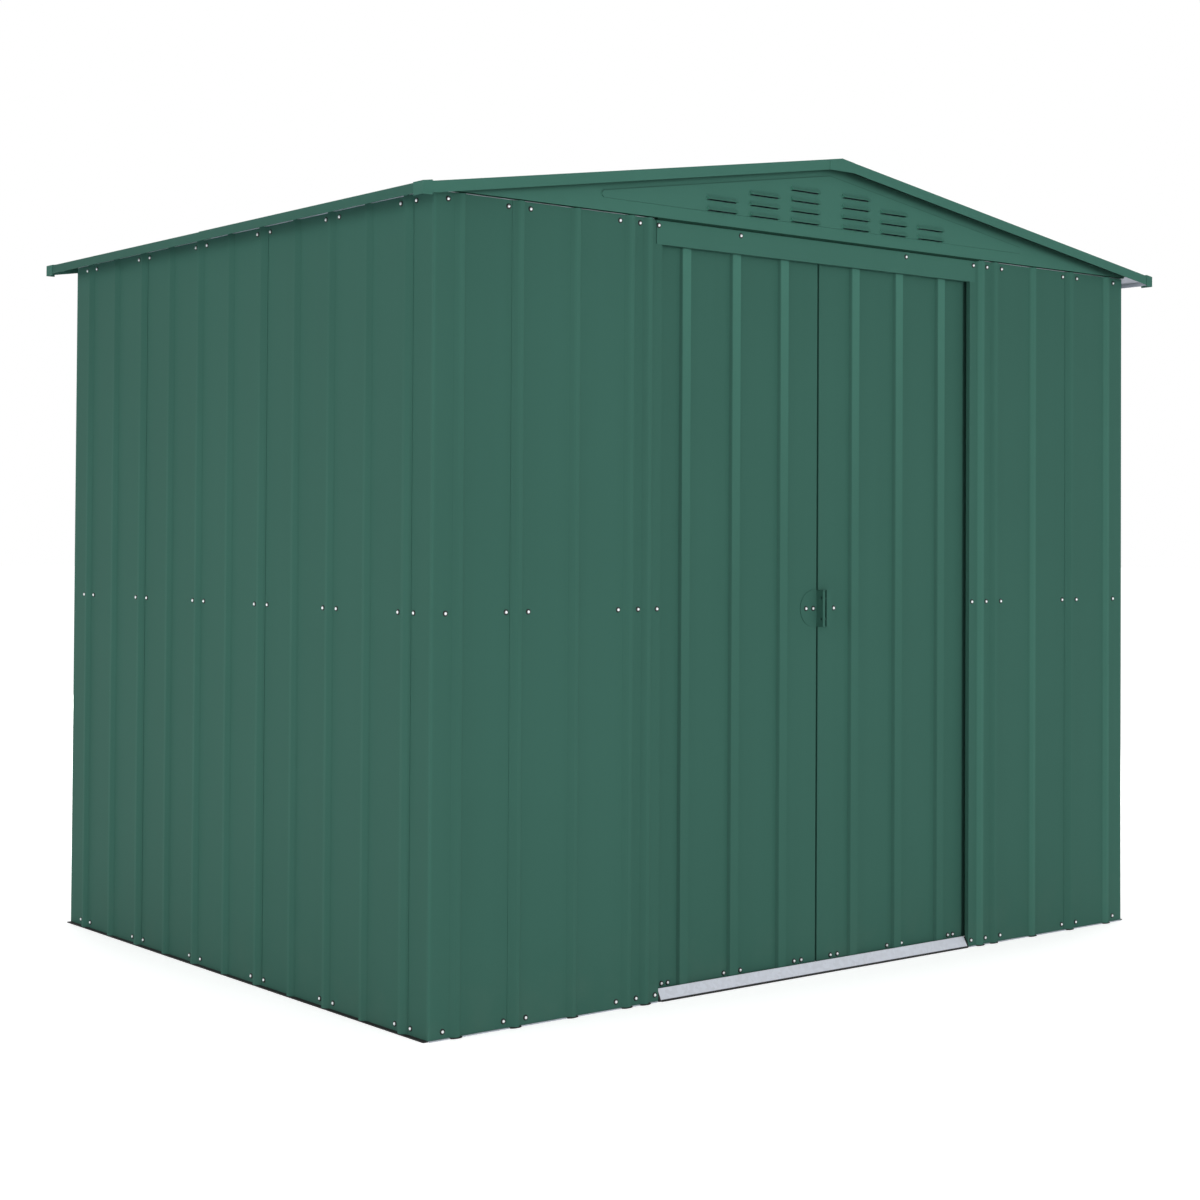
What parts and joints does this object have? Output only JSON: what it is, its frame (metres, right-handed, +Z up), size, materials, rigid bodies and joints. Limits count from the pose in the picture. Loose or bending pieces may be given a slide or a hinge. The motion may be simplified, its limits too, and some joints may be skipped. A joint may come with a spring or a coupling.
{
  "type": "metal storage shed",
  "caption": "Apex-roofed metal garden shed of ribbed coated steel sheet on a galvanised frame, with a louvred gable and a pair of sliding front doors.",
  "frame": {"origin": "centre of the base, on the ground the floor frame rests on", "axes": "+X right as seen from the front, along the longer wall; +Y from the doors to the back wall; +Z up"},
  "size_m": [2.455, 1.865, 1.9943],
  "materials": {
    "green_coated_sheet": "satin",
    "galvanised_steel": "satin",
    "black_plastic": "matte"
  },
  "bodies": {
    "root": {"front_floor_rail": "galvanised_steel", "back_floor_rail": "galvanised_steel", "side_floor_rails": "galvanised_steel", "door_threshold": "galvanised_steel", "front_left_corner_panel": "green_coated_sheet", "front_right_corner_panel": "green_coated_sheet", "back_left_corner_panel": "green_coated_sheet", "back_right_corner_panel": "green_coated_sheet", "left_wall_over_panels": "green_coated_sheet", "left_wall_under_panels": "green_coated_sheet", "right_wall_over_panels": "green_coated_sheet", "right_wall_under_panels": "green_coated_sheet", "back_wall_over_panels": "green_coated_sheet", "back_wall_under_panels": "green_coated_sheet", "front_left_panel": "green_coated_sheet", "front_right_panel": "green_coated_sheet", "left_door_jamb": "green_coated_sheet", "right_door_jamb": "green_coated_sheet", "header_plate": "green_coated_sheet", "front_top_rail": "galvanised_steel", "back_top_rail": "galvanised_steel", "side_top_rails": "galvanised_steel", "front_mid_rails": "galvanised_steel", "back_mid_rail": "galvanised_steel", "side_mid_rails": "galvanised_steel", "door_top_track": "galvanised_steel", "front_gable": "green_coated_sheet", "back_gable": "green_coated_sheet", "ridge_beam": "galvanised_steel", "roof_purlins": "galvanised_steel", "left_roof_over_panels": "green_coated_sheet", "left_roof_under_panels": "green_coated_sheet", "right_roof_over_panels": "green_coated_sheet", "right_roof_under_panels": "green_coated_sheet", "ridge_cap": "green_coated_sheet", "front_eave_trims": "green_coated_sheet", "back_eave_trims": "green_coated_sheet", "left_gable_trims": "green_coated_sheet", "right_gable_trims": "green_coated_sheet", "apex_plates": "green_coated_sheet", "roof_corner_caps": "green_coated_sheet"},
    "left_door": {"left_door_panel": "green_coated_sheet", "left_door_braces": "galvanised_steel", "left_door_sliders": "black_plastic", "left_door_guides": "black_plastic", "left_door_handle": "green_coated_sheet"},
    "right_door": {"right_door_panel": "green_coated_sheet", "right_door_braces": "galvanised_steel", "right_door_sliders": "black_plastic", "right_door_guides": "black_plastic", "right_door_handle": "green_coated_sheet"}
  },
  "joints": [
    {"name": "left_door_slide", "type": "slide", "parent": "root", "child": "left_door", "axis": [-1, 0, 0], "range_m": [0, 0.44]},
    {"name": "right_door_slide", "type": "slide", "parent": "root", "child": "right_door", "axis": [1, 0, 0], "range_m": [0, 0.44]}
  ]
}
